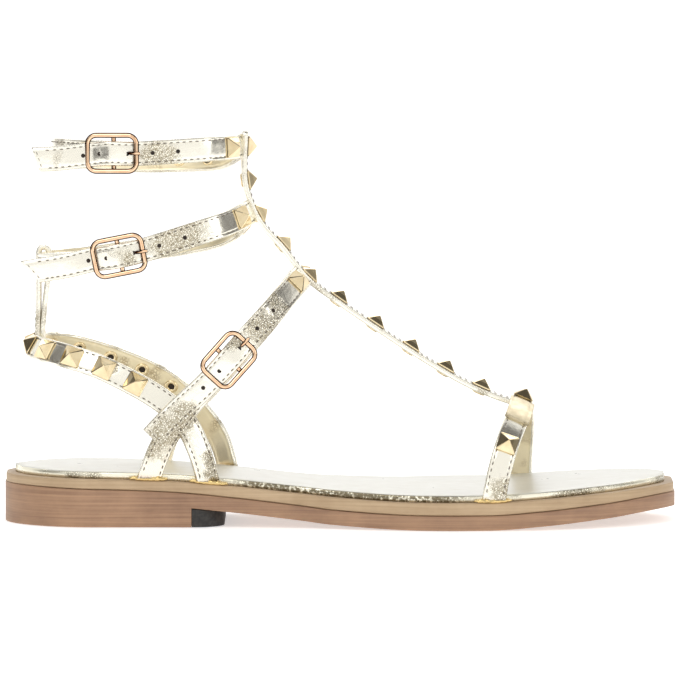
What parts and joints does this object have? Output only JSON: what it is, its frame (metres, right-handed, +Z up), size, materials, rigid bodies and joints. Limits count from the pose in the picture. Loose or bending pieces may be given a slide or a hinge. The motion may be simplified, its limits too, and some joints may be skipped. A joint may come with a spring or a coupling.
{
  "type": "gladiator sandal",
  "caption": "Flat gladiator sandal for the right foot, with buckled metallic leather straps, pyramid studs and a tan stacked sole with a low heel.",
  "frame": {"origin": "middle of the shoe's box, on the floor", "axes": "+X to the toe, +Y to the inner side of the foot, +Z up"},
  "size_m": [0.25, 0.0908, 0.1462],
  "materials": {
    "sole_tan": "matte stacked edge with fine horizontal lines",
    "welt_tan": "matte stacked edge, lighter",
    "black_rubber": "matte",
    "insole_leather": "glossy metallic, pale silver gold",
    "strap_leather": "metallic foil with fine crackle, pale gold",
    "buckle_metal": "polished, warm gold",
    "stud_metal": "polished, pale gold"
  },
  "bodies": {
    "root": {"buckle_instep": "buckle_metal", "buckle_middle": "buckle_metal", "buckle_top": "buckle_metal", "heel": "sole_tan", "heel_breast": "black_rubber", "insole": "insole_leather", "midsole": "welt_tan", "outsole": "sole_tan", "prong_instep": "buckle_metal", "prong_middle": "buckle_metal", "prong_top": "buckle_metal", "stud_bar_1": "stud_metal", "stud_bar_10": "stud_metal", "stud_bar_2": "stud_metal", "stud_bar_3": "stud_metal", "stud_bar_4": "stud_metal", "stud_bar_5": "stud_metal", "stud_bar_6": "stud_metal", "stud_bar_7": "stud_metal", "stud_bar_8": "stud_metal", "stud_bar_9": "stud_metal", "stud_heel_inner_1": "stud_metal", "stud_heel_inner_2": "stud_metal", "stud_heel_inner_3": "stud_metal", "stud_heel_inner_4": "stud_metal", "stud_heel_inner_5": "stud_metal", "stud_heel_inner_6": "stud_metal", "stud_heel_outer_1": "stud_metal", "stud_heel_outer_2": "stud_metal", "stud_heel_outer_3": "stud_metal", "stud_heel_outer_4": "stud_metal", "stud_heel_outer_5": "stud_metal", "stud_instep_inner": "stud_metal", "stud_instep_outer": "stud_metal", "stud_middle_inner": "stud_metal", "stud_middle_outer": "stud_metal", "stud_toe_crest": "stud_metal", "stud_toe_inner": "stud_metal", "stud_toe_outer": "stud_metal", "stud_top_inner_1": "stud_metal", "stud_top_inner_2": "stud_metal", "stud_top_inner_3": "stud_metal", "stud_top_outer": "stud_metal", "toe_plate": "stud_metal", "upper": "strap_leather"}
  },
  "joints": []
}
